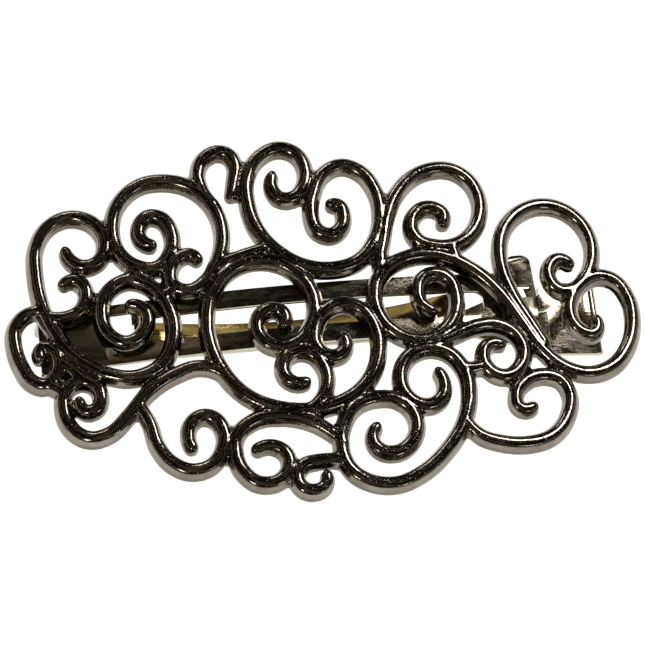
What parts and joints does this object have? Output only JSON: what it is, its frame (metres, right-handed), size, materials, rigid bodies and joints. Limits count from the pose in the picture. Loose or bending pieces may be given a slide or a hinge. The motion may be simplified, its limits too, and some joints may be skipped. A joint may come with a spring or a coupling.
{
  "type": "hair barrette",
  "caption": "French barrette with a bowed openwork scroll plate on a squeeze-release spring clasp, for fastening a lock of hair.",
  "frame": {"origin": "under the middle of the scroll plate, on the surface that the closed barrette lies on", "axes": "+X along the clasp from the hinge to the thumb pad, +Y across it, +Z out of the face of the plate"},
  "size_m": [0.085, 0.0513, 0.0135],
  "materials": {
    "casting": "polished black-nickel plate over a zinc casting, with soft edges and fine pits",
    "spring_steel": "nickel-plated spring steel, satin to bright",
    "bow_steel": "thin gold-toned spring strip, satin",
    "pin_steel": "bright drawn steel wire",
    "solder": "dull grey tin solder"
  },
  "bodies": {
    "base": {"scroll_plate": "casting", "solder_joints": "solder", "base_bar": "spring_steel", "tension_bow": "bow_steel", "hinge_pin": "pin_steel"},
    "arm": {"arm": "spring_steel"},
    "catch_upper": {"catch_prong_upper": "spring_steel"},
    "catch_lower": {"catch_prong_lower": "spring_steel"}
  },
  "joints": [
    {"name": "arm_hinge", "type": "hinge", "parent": "base", "child": "arm", "pos_m": [-0.0365, 0.0008, 0.0019], "axis": [0, 1, 0], "range_deg": [0, 110]},
    {"name": "catch_upper_squeeze", "type": "hinge", "parent": "base", "child": "catch_upper", "pos_m": [0.027, 0.0015, 0.0084], "axis": [-1, 0, 0], "range_deg": [0, 4], "stiffness_Nm_per_rad": 0.33},
    {"name": "catch_lower_squeeze", "type": "hinge", "parent": "base", "child": "catch_lower", "pos_m": [0.027, 0.0001, 0.0084], "axis": [1, 0, 0], "range_deg": [0, 4], "stiffness_Nm_per_rad": 0.33}
  ]
}
